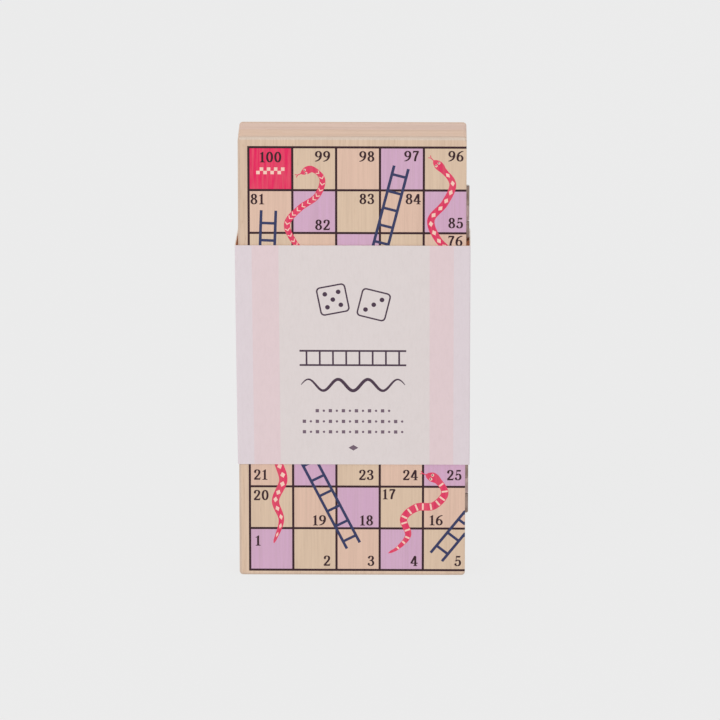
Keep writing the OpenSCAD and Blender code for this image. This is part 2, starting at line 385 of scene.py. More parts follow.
NUMERALS = {
    "0": (0.67, lambda: [eye(0.335, 0.5, 0.222, 0.457)]),
    "1": (0.54, lambda: [pen(np.linspace((0.29, 0.06), (0.29, 0.90), 6)),
                         [[(0.06, 0.0), (0.53, 0.0), (0.53, 0.055), (0.42, 0.085), (0.38, 0.14), (0.20, 0.14), (0.17, 0.085), (0.06, 0.055)]],
                         [[(0.05, 0.80), (0.07, 0.765), (0.20, 0.80), (0.388, 0.90), (0.388, 1.0), (0.34, 1.0)]]]),
    "2": (0.66, lambda: [pen(path((0.125, 0.75), ((0.125, 0.90), (0.22, 0.957), (0.325, 0.957)),
                                  ((0.45, 0.957), (0.525, 0.87), (0.525, 0.745)), ((0.525, 0.56), (0.33, 0.36), (0.105, 0.115)))),
                         dot(0.135, 0.735, 0.095),
                         [[(0.035, 0.0), (0.59, 0.0), (0.635, 0.245), (0.575, 0.245), (0.525, 0.15), (0.10, 0.15), (0.035, 0.06)]]]),
    "3": (0.64, lambda: [pen(path((0.12, 0.80), ((0.15, 0.91), (0.22, 0.957), (0.31, 0.957)),
                                  ((0.42, 0.957), (0.49, 0.88), (0.49, 0.765)), ((0.49, 0.63), (0.40, 0.545), (0.25, 0.535)))),
                         pen(path((0.25, 0.535), ((0.43, 0.535), (0.525, 0.43), (0.525, 0.285)),
                                  ((0.525, 0.12), (0.42, 0.043), (0.29, 0.043)), ((0.18, 0.043), (0.11, 0.09), (0.095, 0.20)))),
                         dot(0.13, 0.785, 0.085), dot(0.115, 0.215, 0.09)]),
    "4": (0.69, lambda: [pen(np.linspace((0.445, 0.05), (0.445, 0.91), 6)),
                         pen(np.linspace((0.42, 0.95), (0.075, 0.295), 6)),
                         [rect(0.025, 0.235, 0.665, 0.325)], [rect(0.25, 0.0, 0.63, 0.065)]]),
    "5": (0.64, lambda: [[[(0.15, 0.84), (0.525, 0.84), (0.575, 1.0), (0.15, 1.0)]],
                         [[(0.125, 0.45), (0.19, 0.50), (0.215, 0.90), (0.15, 0.96)]],
                         pen(path((0.155, 0.50), ((0.22, 0.575), (0.28, 0.60), (0.335, 0.60)),
                                  ((0.45, 0.60), (0.525, 0.48), (0.525, 0.32)), ((0.525, 0.13), (0.42, 0.043), (0.28, 0.043)),
                                  ((0.17, 0.043), (0.105, 0.09), (0.095, 0.19)))), dot(0.115, 0.205, 0.09)]),
    "6": (0.67, six),
    "7": (0.62, lambda: [[[(0.06, 0.76), (0.115, 0.76), (0.16, 0.85), (0.60, 0.85), (0.60, 0.93), (0.56, 1.0), (0.075, 1.0)]],
                         pen(path((0.53, 0.90), ((0.42, 0.68), (0.27, 0.46), (0.25, 0.05))))]),
    "8": (0.66, lambda: [eye(0.33, 0.745, 0.178, 0.212), eye(0.33, 0.275, 0.217, 0.232)]),
    "9": (0.67, lambda: [[[(0.67 - x, 1.0 - z) for x, z in loop] for loop in shape] for shape in six()]),
}
GAP = 0.075


class Drawing:
    """Filled shapes on a plane, each with an ink; later shapes lie over earlier ones."""

    def __init__(self):
        self.shapes = []

    def add(self, ink, *loops):
        self.shapes.append((ink, [np.array([tuple(p) for p in loop], float) for loop in loops]))

    def number(self, n, cx, cz, h, ink):
        glyphs = [NUMERALS[c] for c in str(n)]
        x = cx - h * (sum(g[0] for g in glyphs) + GAP * (len(glyphs) - 1)) / 2
        for width, draw in glyphs:
            for shape in draw():
                self.add(ink, *[[(x + h * p[0], cz - h / 2 + h * p[1]) for p in loop] for loop in shape])
            x += h * (width + GAP)

    def ladder(self, p, q, ink, gap=6.4, rail=1.25, rung=1.2, pitch=7.8):
        p, q = np.array(p, float), np.array(q, float)
        d = unit(q - p)
        n = np.array([-d[1], d[0]]) * gap / 2
        length = np.hypot(*(q - p))
        for s in (-1, 1):
            self.add(ink, bar(p + s * n, q + s * n, rail))
        count = max(int((length - 6.5) / pitch), 1)
        first = (length - pitch * count) / 2
        for k in range(count + 1):
            m = p + d * (first + pitch * k)
            self.add(ink, bar(m - n, m + n, rung))

    def snake(self, points, marks, skin, pale, black, size=1.0):
        p, s = spline(points)
        length = s[-1]
        w = np.interp(s, [0, 0.5, 1.5, 3.0, 4.6, 6.2, 8.5, 14, 0.5 * length, 0.76 * length, length - 6, length - 1.2, length],
                      [0.25, 1.0, 1.75, 2.35, 2.25, 1.7, 1.5, 1.8, 1.95, 1.55, 0.95, 0.6, 0.12]) * size
        t = np.gradient(p, axis=0)
        t /= np.hypot(*t.T)[:, None]
        n = np.stack([-t[:, 1], t[:, 0]], axis=1)
        fwd, nose = -t[0], p[0]
        side = np.array([-fwd[1], fwd[0]])
        fork = nose + fwd * 1.5
        self.add(skin, bar(nose - fwd * 0.3, fork, 0.42))
        for k in (-1, 1):
            self.add(skin, bar(fork - fwd * 0.1, fork + fwd * 1.0 + side * 0.7 * k, 0.36))
        self.add(skin, list(p + n * w[:, None]) + list((p - n * w[:, None])[::-1]))

        def at(x):
            i = min(int(np.searchsorted(s, x)), len(s) - 1)
            return p[i], t[i], w[i]
        if marks == "chevrons":
            for x in np.arange(8.5, length - 4, 2.7):
                c, d, b = at(x)
                self.add(pale, framed(c, d, [(-0.8, -0.78 * b), (-0.25, -0.78 * b), (0.75, 0), (-0.25, 0.78 * b), (-0.8, 0.78 * b), (0.15, 0)]))
        elif marks == "diamonds":
            for x in np.arange(9.0, length - 4, 4.2):
                c, d, b = at(x)
                self.add(pale, framed(c, d, [(-1.35, 0), (0, -0.62 * b), (1.35, 0), (0, 0.62 * b)]))
        else:
            for x in np.arange(8.5, length - 3.5, 3.3):
                c, d, b = at(x)
                self.add(pale, framed(c, d, [(-0.4, -0.82 * b), (0.4, -0.82 * b), (0.4, 0.82 * b), (-0.4, 0.82 * b)]))
        for k in (-1, 1):
            c = nose - fwd * 3.1 * size + side * 1.05 * k * size
            self.add(pale, oval(c, 0.72 * size, 0.72 * size, n=14))
            self.add(black, oval(c + fwd * 0.15, 0.36 * size, 0.36 * size, n=12))


def inside(points, loops):
    out = np.zeros(len(points), bool)
    for loop in loops:
        lo, hi = loop.min(0), loop.max(0)
        near = np.nonzero(((points > lo) & (points < hi)).all(axis=1))[0]
        if not len(near):
            continue
        p = points[near]
        a, b = loop, np.roll(loop, -1, axis=0)
        px, pz = p[:, :1], p[:, 1:]
        cross = (a[None, :, 1] > pz) != (b[None, :, 1] > pz)
        dz = b[:, 1] - a[:, 1]
        dz = np.where(np.abs(dz) < 1e-12, 1e-12, dz)
        at = (b[:, 0] - a[:, 0])[None] * (pz - a[None, :, 1]) / dz[None] + a[None, :, 0]
        out[near] ^= ((cross & (px < at)).sum(axis=1) % 2).astype(bool)
    return out


def partition(outline, drawing, cuts=()):
    """Triangles that fill the outline, cut along the edges of every shape, and each triangle's ink."""
    outline = np.array([tuple(p) for p in outline], float)
    pts, edges = [], []

    def loop(l):
        i = len(pts)
        pts.extend(Vector((float(p[0]), float(p[1]))) for p in l)
        edges.extend((i + k, i + (k + 1) % len(l)) for k in range(len(l)))
    lo, hi = outline.min(0), outline.max(0)
    shapes = [(ink, loops) for ink, loops in drawing.shapes
              if all((l.max(0) > lo).all() and (l.min(0) < hi).all() for l in loops)]
    loop(outline)
    for _, loops in shapes:
        for l in loops:
            loop(l)
    for a, b in cuts:
        i = len(pts)
        pts.extend((Vector(a), Vector(b)))
        edges.append((i, i + 1))
    verts, _, faces = delaunay_2d_cdt(pts, edges, [], 0, 1e-5, False)[:3]
    v = np.array([tuple(p) for p in verts], float)
    f = np.array([tuple(t) for t in faces], int)
    mid = v[f].mean(axis=1)
    a, b, c = v[f[:, 0]], v[f[:, 1]], v[f[:, 2]]
    area = (b[:, 0] - a[:, 0]) * (c[:, 1] - a[:, 1]) - (b[:, 1] - a[:, 1]) * (c[:, 0] - a[:, 0])
    f[area < 0] = f[area < 0][:, ::-1]
    keep = inside(mid, [outline])
    f, mid = f[keep], mid[keep]
    ink = np.zeros(len(f), int)
    for colour, loops in shapes:
        ink[inside(mid, loops)] = colour
    used = np.unique(f)
    new = -np.ones(len(v), int)
    new[used] = np.arange(len(used))
    return v[used], new[f], ink


def border(faces):
    """The outer edge of a patch of triangles, as one loop of vertices, with each edge's triangle."""
    owner = {}
    for i, f in enumerate(faces):
        for k in range(3):
            owner[(f[k], f[(k + 1) % 3])] = i
    free = {a: (b, i) for (a, b), i in owner.items() if (b, a) not in owner}
    start = a = next(iter(free))
    loop, tri = [], []
    while True:
        b, i = free[a]
        loop.append(a)
        tri.append(i)
        a = b
        if a == start:
            return loop, tri


# ---------------------------------------------------------------- meshes
def mesh_piece(name, verts, faces, mats, slots=None, smooth=None):
    """A new object; verts in millimetres."""
    me = bpy.data.meshes.new(name)
    me.from_pydata([(x * MM, y * MM, z * MM) for x, y, z in verts], [], [tuple(int(i) for i in f) for f in faces])
    for m in mats:
        me.materials.append(m)
    if slots is not None:
        me.polygons.foreach_set("material_index", np.asarray(slots, np.int32))
    flags = np.ones(len(me.polygons), bool) if smooth is None else np.asarray(smooth, bool)
    me.polygons.foreach_set("use_smooth", flags)
    me.update()
    obj = bpy.data.objects.new(name, me)
    scene.collection.objects.link(obj)
    return obj


def outward(obj):
    bm = bmesh.new()
    bm.from_mesh(obj.data)
    bmesh.ops.recalc_face_normals(bm, faces=bm.faces[:])
    bm.to_mesh(obj.data)
    bm.free()
    obj.data.update()


def place(obj, node, body):
    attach(obj, body)
    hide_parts(node)
    return obj


def arc(cx, cz, r, a0, a1, n):
    return [(cx + r * math.cos(math.radians(a)), cz + r * math.sin(math.radians(a))) for a in np.linspace(a0, a1, n + 1)]


def rounded(x0, z0, x1, z1, r, n=6):
    """Anticlockwise outline with round corners; r is the radius at lower left, lower right, upper right, upper left."""
    ll, lr, ur, ul = r
    out = []
    for cx, cz, rr, a in ((x0 + ll, z0 + ll, ll, 180), (x1 - lr, z0 + lr, lr, 270), (x1 - ur, z1 - ur, ur, 0), (x0 + ul, z1 - ul, ul, 90)):
        out += arc(cx, cz, rr, a, a + 90, n) if rr > 0 else [(cx, cz)]
    return out


def grow(loop, d):
    """The convex anticlockwise loop moved outwards by d, or inwards where d is below 0."""
    p = np.array(loop, float)
    e = np.roll(p, -1, axis=0) - p
    e /= np.hypot(*e.T)[:, None]
    n = np.stack([e[:, 1], -e[:, 0]], axis=1)
    m = n + np.roll(n, 1, axis=0)
    m /= (m * n).sum(axis=1)[:, None]
    return p + m * d


def strip(a, b):
    return [(a[i], a[(i + 1) % len(a)], b[(i + 1) % len(a)], b[i]) for i in range(len(a))]


def bar_piece(name, loop, y_glued, y_rim, ease, mats, pick):
    """A wooden member: its outline in X and Z, run from the glued face to the rim, with the rim's edges eased."""
    way = 1.0 if y_rim > y_glued else -1.0
    rings = [(0.0, y_glued)]
    for k in range(5):
        a = math.radians(90.0 * k / 4)
        rings.append((ease * (1 - math.cos(a)), y_rim - way * ease * (1 - math.sin(a))))
    verts, index = [], []
    for inset, y in rings:
        pts = grow(loop, -inset)
        index.append(list(range(len(verts), len(verts) + len(pts))))
        verts += [(p[0], y, p[1]) for p in pts]
    faces, smooth = [tuple(index[0])], [False]
    for a, b in zip(index, index[1:]):
        q = strip(a, b)
        faces += q
        smooth += [True] * len(q)
    faces.append(tuple(index[-1]))
    smooth.append(False)
    obj = mesh_piece(name, verts, faces, mats, smooth=smooth)
    outward(obj)
    obj.data.set_sharp_from_angle(angle=math.radians(35))
    for p in obj.data.polygons:
        p.material_index = pick(p.normal)
    return obj


def cutter(name, make):
    bm = bmesh.new()
    make(bm)
    me = bpy.data.meshes.new(name)
    bm.to_mesh(me)
    bm.free()
    obj = bpy.data.objects.new(name, me)
    scene.collection.objects.link(obj)
    return obj


def box_cut(lo, hi):
    def make(bm):
        bmesh.ops.create_cube(bm, size=1.0)
        lo_, hi_ = Vector(lo) * MM, Vector(hi) * MM
        for v in bm.verts:
            v.co = Vector((a + (b - a) * (c + 0.5) for a, b, c in zip(lo_, hi_, v.co)))
    return make


def rod_cut(centre, axis, r, length, n=40):
    def make(bm):
        ends = []
        for s in (-0.5, 0.5):
            ring = []
            for k in range(n):
                a = 2 * math.pi * (k + 0.5) / n
                u, v = r * math.cos(a), r * math.sin(a)
                p = (centre[0] + u, centre[1] + v, centre[2] + s * length) if axis == "z" else (centre[0] + u, centre[1] + s * length, centre[2] + v)
                ring.append(bm.verts.new(Vector(p) * MM))
            ends.append(ring)
        for k in range(n):
            bm.faces.new((ends[0][k], ends[0][(k + 1) % n], ends[1][(k + 1) % n], ends[1][k]))
        bm.faces.new(ends[0][::-1])
        bm.faces.new(ends[1])
        bmesh.ops.recalc_face_normals(bm, faces=bm.faces[:])
    return make


def carve(obj, cuts):
    """Cuts each tool shape out of the piece, and leaves a plain mesh."""
    tools = []
    for i, make in enumerate(cuts):
        t = cutter("tool_%d" % i, make)
        mod = obj.modifiers.new("cut", "BOOLEAN")
        mod.operation, mod.solver, mod.object = "DIFFERENCE", "EXACT", t
        tools.append(t)
    bpy.context.view_layer.update()
    done = bpy.data.meshes.new_from_object(obj.evaluated_get(bpy.context.evaluated_depsgraph_get()))
    obj.modifiers.clear()
    old, obj.data = obj.data, done
    bpy.data.meshes.remove(old)
    for t in tools:
        me = t.data
        bpy.data.objects.remove(t)
        bpy.data.meshes.remove(me)
    obj.data.set_sharp_from_angle(angle=math.radians(35))


# ---------------------------------------------------------------- the print
# the last two slots hold painted light: a painted highlight for the top eased edge, painted shade for the other eased
# edges
BARE, LILAC, PEACH, CREAM, FINISH, BLACK, NAVY, SKIN, PALE, END, EDGE_HIGHLIGHT, SIDE_SHADE = range(12)


def col_x(c):
    """Where the grid's line c runs across the board; the two halves mirror each other about the fold."""
    if c == 5:
        return 100.0
    return U0 + PU * c if c < 5 else 200.0 - U0 - PU * (10 - c)


def cell(n):
    row, pos = divmod(n - 1, 10)
    col = pos if row % 2 == 0 else 9 - pos
    return row, col


NUMBER_H = 4.8
CORNERS = ((0.72, 0.80), (0.27, 0.80), (0.72, 0.21), (0.27, 0.21), (0.50, 0.80), (0.50, 0.21))
SPOTS = {100: (0.50, 0.77), 99: (0.69, 0.79), 98: (0.70, 0.79), 97: (0.72, 0.80), 96: (0.73, 0.80),
         81: (0.20, 0.79), 82: (0.69, 0.19), 83: (0.70, 0.80), 84: (0.76, 0.80), 85: (0.73, 0.24), 76: (0.72, 0.82),
         80: (0.79, 0.21), 61: (0.79, 0.21), 21: (0.25, 0.28), 23: (0.69, 0.28), 24: (0.71, 0.28), 25: (0.72, 0.28), 22: (0.74, 0.82),
         20: (0.26, 0.79), 19: (0.60, 0.19), 18: (0.69, 0.19), 17: (0.21, 0.82), 16: (0.30, 0.20),
         1: (0.18, 0.70), 2: (0.78, 0.22), 3: (0.80, 0.22), 4: (0.80, 0.22), 5: (0.81, 0.22)}


def board():
    d, art = Drawing(), Drawing()
    for row in range(10):
        for col in range(10):
            ink = (LILAC, CREAM, PEACH)[(col + row) % 3]
            if (row, col) == (9, 0):
                ink = FINISH
            d.add(ink, rect(col_x(col), Z0 + PZ * row, col_x(col + 1), Z0 + PZ * (row + 1)))
    top = Z0 + PZ * 10
    for c in list(range(5)) + list(range(6, 11)):
        d.add(BLACK, rect(col_x(c) - LINE / 2, Z0 - LINE / 2, col_x(c) + LINE / 2, top + LINE / 2))
    for r in range(11):
        d.add(BLACK, rect(U0 - LINE / 2, Z0 + PZ * r - LINE / 2, 200 - U0 + LINE / 2, Z0 + PZ * r + LINE / 2))
    # a chequered band marks the last square
    for i in range(8):
        for k in range(2):
            if (i + k) % 2 == 0:
                x, z = col_x(0) + PU / 2 + 1.55 * (i - 4), Z0 + PZ * 9.45 + 1.55 * (k - 1)
                d.add(PALE, rect(x, z, x + 1.55, z + 1.55))
    for p, q in (((50.5, 13.8), (29.5, 55.3)), ((56.0, 126.1), (71.5, 186.8)), ((14.0, 85.6), (40.0, 130.1)), ((84.0, 67.4), (72.0, 105.9)),
                 ((11.9, 124.5), (13.4, 167.2)), ((87.3, 8.6), (107.0, 33.6)), ((118.0, 12.8), (136.0, 63.4)), ((184.0, 22.9), (172.0, 69.4)), ((150.0, 89.7), (170.0, 140.3)), ((112.0, 114.0), (124.0, 174.7))):
        art.ladder(p, q, NAVY)
    for points, marks, size in (
            (((27.5, 183.8), (32.5, 185.8), (37.0, 181.3), (34.5, 173.7), (27.0, 168.1), (21.5, 161.0), (25.0, 152.4), (32.0, 144.3), (29.0, 134.2)), "chevrons", 0.74),
            (((85.5, 189.9), (89.5, 185.8), (94.0, 179.2), (90.5, 170.6), (84.5, 163.0), (87.5, 154.4), (94.0, 146.3), (91.0, 135.2), (95.0, 126.1)), "diamonds", 0.84),
            (((82.5, 46.7), (87.5, 44.3), (91.0, 38.1), (86.0, 32.3), (78.5, 31.5), (72.8, 26.4), (74.8, 18.8), (70.5, 13.0), (66.0, 10.3)), "bands", 0.94),
            (((13.0, 77.5), (17.5, 72.5), (21.0, 63.4), (17.2, 54.3), (19.5, 44.1), (16.0, 34.5), (18.6, 25.4), (15.2, 14.8)), "diamonds", 0.98),
            (((62.0, 120.0), (66.0, 115.0), (61.0, 104.9), (54.0, 96.8), (58.0, 85.6), (66.0, 77.5), (60.0, 65.4)), "bands", 0.9),
            (((184.0, 186.8), (180.0, 179.7), (184.0, 168.6), (178.0, 157.5), (183.0, 146.3), (178.0, 134.2)), "chevrons", 0.9),
            (((143.0, 168.6), (148.0, 163.5), (144.0, 152.4), (137.0, 142.3), (141.0, 130.1), (134.0, 120.0)), "diamonds", 0.96),
            (((118.0, 101.8), (123.0, 95.7), (129.0, 87.7), (124.0, 77.5), (116.0, 69.4), (120.0, 57.3)), "bands", 0.84),
            (((160.0, 63.4), (155.0, 57.3), (160.0, 47.2), (153.0, 38.1), (158.0, 26.9), (151.0, 16.8)), "chevrons", 0.8)):
        art.snake(points, marks, SKIN, PALE, BLACK, size)

    def spot(n):
        """The corner of its square where a number lies clearest of the snakes and ladders."""
        row, col = cell(n)
        if n in SPOTS:
            return SPOTS[n]
        places = [c for c in CORNERS if c[1] < 0.5] if row == 7 else CORNERS
        wide, tall = NUMBER_H * 0.36 * len(str(n)) + 0.5, NUMBER_H / 2 + 0.5
        grid = np.array([(a, b) for a in np.linspace(-wide, wide, 11) for b in np.linspace(-tall, tall, 9)])
        hits = []
        for fx, fz in places:
            at = grid + (col_x(col) + PU * fx, Z0 + PZ * (row + fz))
            covered = np.zeros(len(at), bool)
            for _, loops in art.shapes:
                covered |= inside(at, loops)
            hits.append(int(covered.sum()))
        return places[hits.index(min(hits))]
    for n in range(1, 101):
        row, col = cell(n)
        fx, fz = spot(n)
        d.number(n, col_x(col) + PU * fx, Z0 + PZ * (row + fz), NUMBER_H, BLACK)
    d.shapes += art.shapes
    return d


def printed_panel(name, side, drawing, mats):
    """One half of the board: its printed face, eased edges (the top one in a lighter wood for a painted highlight, the
    others in a darker wood for painted shade), and plain sides and back. side is -1 in front, +1 behind.
    """
    x0, x1 = (0.0, 100.0) if side < 0 else (100.0, 200.0)
    e0, e1 = (EASE, FOLD_EASE) if side < 0 else (FOLD_EASE, EASE)
    core = ((x0 + CORNER, x1 - CORNER), (CORNER, H - CORNER))
    outline = []
    for cx, cz, a0, e in ((core[0][0], core[1][0], 180, e0), (core[0][1], core[1][0], 270, e1), (core[0][1], core[1][1], 0, e1), (core[0][0], core[1][1], 90, e0)):
        for a in np.linspace(a0, a0 + 90, 7):
            outline.append((cx + (CORNER - e) * math.cos(math.radians(a)), cz + (CORNER - EASE) * math.sin(math.radians(a))))
    v, f, ink = partition(outline, drawing)
    loop, tri = border(f)
    rim = v[loop]

    def outer(p):
        """The panel's full outline beside a point of its flat face's edge."""
        left, e = p[0] < (x0 + x1) / 2, e0 if p[0] < (x0 + x1) / 2 else e1
        cx, cz = core[0][0 if left else 1], core[1][0 if p[1] < H / 2 else 1]
        past_x, past_z = (p[0] < cx - 1e-6) if left else (p[0] > cx + 1e-6), (p[1] < cz - 1e-6) if p[1] < H / 2 else (p[1] > cz + 1e-6)
        if past_x and past_z:
            a = math.atan2((p[1] - cz) / (CORNER - EASE), (p[0] - cx) / (CORNER - e))
            return (cx + CORNER * math.cos(a), cz + CORNER * math.sin(a))
        if past_x:
            return (x0 if left else x1, p[1])
        return (p[0], 0.0 if p[1] < H / 2 else H)
    full = np.array([outer(p) for p in rim])
    ease = np.hypot(*(full - rim).T)
    fold = 100.0

    def put(p, y):
        return (p[0] - 50.0 if side < 0 else 150.0 - p[0], y, p[1])
    verts = [put(p, side * HD) for p in v]
    faces, slots, smooth = [tuple(t) for t in f], list(ink), [False] * len(f)
    ends = np.minimum(full[:, 1], H - full[:, 1]) < 0.5
    crown = full[:, 1] > H - 0.5
    rings = [loop]
    for k in range(1, 7):
        a = math.radians(90.0 * k / 5)
        t, deep = (math.sin(a), ease * (1 - math.cos(a))) if k < 6 else (1.0, np.full(len(rim), PANEL_T))
        pts = rim + (full - rim) * t
        rings.append(list(range(len(verts), len(verts) + len(pts))))
        verts += [put(p, side * (HD - d)) for p, d in zip(pts, deep)]
    for k, (a, b) in enumerate(zip(rings, rings[1:])):
        for i, quad in enumerate(strip(a, b)):
            j = (i + 1) % len(rim)
            at_fold = abs(full[i][0] - fold) < 0.01 and abs(full[j][0] - fold) < 0.01
            faces.append(quad)
            if at_fold:
                slots.append(int(ink[tri[i]]) if k < 4 else BARE)
            else:
                # the top eased edge takes the wood with the painted highlight, the other eased edges the wood with
                # painted shade
                slots.append((EDGE_HIGHLIGHT if crown[i] and crown[j] else SIDE_SHADE) if k < 5 else (END if ends[i] and ends[j] else BARE))
            smooth.append(True)
    faces.append(tuple(rings[-1]))
    slots.append(BARE)
    smooth.append(False)
    obj = mesh_piece(name, verts, faces, mats, slots, smooth)
    outward(obj)
    return obj


def inks(tag, seed):
    def w(name, ink, cover, **k):
        return wood("%s_%s" % (name, tag), 2, WOOD, seed, ink, cover, streak=0.45, **k)
    return [wood("wood_face_%s" % tag, 2, WOOD, seed),
            w("ink_lilac", scaled(srgb(205, 163, 197), GAIN), 0.86), w("ink_peach", scaled(srgb(221, 186, 167), GAIN), 0.80),
            w("ink_cream", scaled(srgb(215, 190, 164), GAIN), 0.55),
            w("ink_finish", scaled(srgb(228, 30, 91), GAIN), 0.945, grip=1.2, gloss=0.2, thin_by=0.055),
            w("ink_black", scaled(srgb(49, 24, 34), GAIN), 0.985, gloss=0.15), w("ink_navy", scaled(srgb(42, 52, 94), GAIN), 0.98, gloss=0.2),
            w("ink_skin", scaled(srgb(222, 52, 96), GAIN), 0.96, grip=1.2, gloss=0.2, thin_by=0.04), w("ink_pale", scaled(srgb(246, 205, 190), GAIN), 0.90),
            # the last two woods are painted light: a lighter one for a highlight on the top eased edge, a darker one
            # for shade on the others
            end_grain("wood_end_%s" % tag, WOOD_END, seed), wood("wood_edge_highlight_%s" % tag, 2, WOOD_EDGE_HIGHLIGHT, seed, streak=0.35),
            wood("wood_side_shade_%s" % tag, 2, WOOD_SIDE_SHADE, seed, streak=0.35)]


print_all = board()
place(printed_panel("board_front", -1, print_all, inks("front", 0.0)), "front_panel", "front_half")
place(printed_panel("board_back", 1, print_all, inks("back", 6.3)), "back_panel", "back_half")

# ---------------------------------------------------------------- tray walls
rail_wood = {s: wood("wood_rail_%s" % s, 0, RAIL[s], k, streak=0.9) for s, k in (("front", 1.3), ("back", 4.1))}
stile_wood = {s: wood("wood_stile_%s" % s, 2, WOOD, k) for s, k in (("front", 2.2), ("back", 7.7))}
rail_end = end_grain("wood_rail_end", scaled(WOOD_END, 0.94), 2.0)

for tag, side in (("front", -1), ("back", 1)):
    glued, rim = side * (HD - PANEL_T), side * MEET
    body = "%s_half" % tag
    mats = [rail_wood[tag], rail_end]

    def rail_slot(n):
        return 1 if abs(n.x) > 0.8 else 0
    top = rounded(-50, H - WALL, 50, H, (0, 0, CORNER, CORNER))
    low = rounded(-50, 0, 50, WALL, (CORNER, CORNER, 0, 0))
    place(bar_piece("top_rail_%s" % tag, top, glued, rim, RIM_EASE, mats, rail_slot), "%s_top_rail" % tag, body)
    place(bar_piece("bottom_rail_%s" % tag, low, glued, rim, RIM_EASE, mats, rail_slot), "%s_bottom_rail" % tag, body)

    hinge = bar_piece("hinge_stile_%s" % tag, rect(50 - WALL, WALL, 50, H - WALL), glued, rim, RIM_EASE, [stile_wood[tag]], lambda n: 0)
    cuts = []
    for z in HINGES:
        a, b = sorted((side * (RIM + LEAF_T), -side * 1.0))
        cuts.append(box_cut((AXIS_X - LEAF_W, a, z - HINGE_LEN / 2), (AXIS_X + 1, b, z + HINGE_LEN / 2)))
        cuts.append(rod_cut((AXIS_X, 0, z), "z", GROOVE_R, HINGE_LEN + 1))
    carve(hinge, cuts)
    place(hinge, "%s_hinge_stile" % tag, body)

    opening = bar_piece("opening_stile_%s" % tag, rect(-50, WALL, -50 + WALL, H - WALL), glued, rim, RIM_EASE, [stile_wood[tag]], lambda n: 0)
    carve(opening, [rod_cut((MAGNET_X, side * (RIM + 2.0) - side * 2.0, z), "y", 3.02, 4.0) for z in MAGNETS])
    place(opening, "%s_opening_stile" % tag, body)

# ---------------------------------------------------------------- hinges, screws, magnets
brass = metal("aged_brass", (0.24, 0.165, 0.14, 1), (0.44, 0.33, 0.285, 1), (0.34, 0.52))
# painted light: the back leaves take a lighter copy of the same aged brass, for knuckles that catch more light
brass_back_lit = metal("aged_brass_back", (0.34, 0.235, 0.225, 1), (0.58, 0.43, 0.41, 1), (0.30, 0.46))
screw_brass = metal("screw_brass", (0.26, 0.17, 0.11, 1), (0.50, 0.36, 0.25, 1), (0.28, 0.42), 1600)
steel = metal("pin_steel", (0.30, 0.27, 0.25, 1), (0.52, 0.49, 0.46, 1), (0.25, 0.40))
nickel = metal("magnet_nickel", (0.60, 0.59, 0.57, 1), (0.74, 0.73, 0.71, 1), (0.14, 0.24), 1300)
for names, m in ((("upper_hinge_front_leaf", "lower_hinge_front_leaf"), brass), (("upper_hinge_back_leaf", "lower_hinge_back_leaf"), brass_back_lit),
                 (("front_hinge_screws", "back_hinge_screws"), screw_brass), (("upper_hinge_pin", "lower_hinge_pin"), steel),
                 (("front_magnets", "back_magnets"), nickel)):
    for n in names:
        nodes[n].data.materials.clear()
        nodes[n].data.materials.append(m)

# ---------------------------------------------------------------- card sleeve
S_Z0, S_Z1 = 51.5, 151.5
CARD = 0.4
XL, XR, YB, FOLD_R = -51.3, 51.7, 15.35, 0.5
LAP = 7.0
S_RUNS = []


def sleeve_path():
    """The middle of the card, from the glued end behind, round the right side, the front and the left, to the outer end."""
    r = FOLD_R
    quarter = r * math.pi / 2
    runs = [("line", (-LAP, YB), (XR - r, YB), (0, 1)), ("bend", (XR - r, YB - r), 90), ("line", (XR, YB - r), (XR, -YB + r), (1, 0)),
            ("bend", (XR - r, -YB + r), 0), ("line", (XR - r, -YB), (XL + r, -YB), (0, -1)), ("bend", (XL + r, -YB + r), -90),
            ("line", (XL, -YB + r), (XL, YB - r), (-1, 0)), ("bend", (XL + r, YB - r), -180), ("line", (XL + r, YB), (LAP, YB), (0, 1))]
    u = 0.0
    for run in runs:
        length = quarter if run[0] == "bend" else math.dist(run[1], run[2])
        S_RUNS.append((u, u + length, run))
        u += length
    return u


S_U = sleeve_path()
S_FRONT = S_RUNS[4][0]


def on_front(x):
    """Place along the card of a point of the front face, from its X."""
    return S_FRONT + (XR - FOLD_R) - x


def smoothstep(x):
    x = min(max(x, 0.0), 1.0)
    return x * x * (3 - 2 * x)


def sleeve_point(u, z, out):
    """A point of the card: u along it, z up, out from its middle."""
    for i, (a, b, run) in enumerate(S_RUNS):
        if u <= b + 1e-6 or i == len(S_RUNS) - 1:
            break
    t = min(max((u - a) / (b - a), 0.0), 1.0)
    if run[0] == "line":
        (px, py), (qx, qy), (nx, ny) = run[1:]
        x, y = px + (qx - px) * t, py + (qy - py) * t
    else:
        (cx, cy), a0 = run[1:]
        ang = math.radians(a0 - 90.0 * t)
        nx, ny = math.cos(ang), math.sin(ang)
        x, y = cx + FOLD_R * nx, cy + FOLD_R * ny
    if i == len(S_RUNS) - 1:
        y += 0.4 * smoothstep((x + 10.2) / 2.6)
    if i == 0:
        y -= 0.004 * smoothstep((LAP + 3.0 - x) / 2.6)
    x, y = x + nx * out, y + ny * out
    # the band hangs close to the case at its foot and stands off the opening side at its top, most of all in front
    up = (z - S_Z0) / (S_Z1 - S_Z0)
    deep = min(max((y + YB) / (2 * YB), 0.0), 1.0)
    x += (0.98 * (1 - up) ** 1.15 + 0.66 * up * deep) * (XR - x) / (XR - XL)
    return (x, y, z)


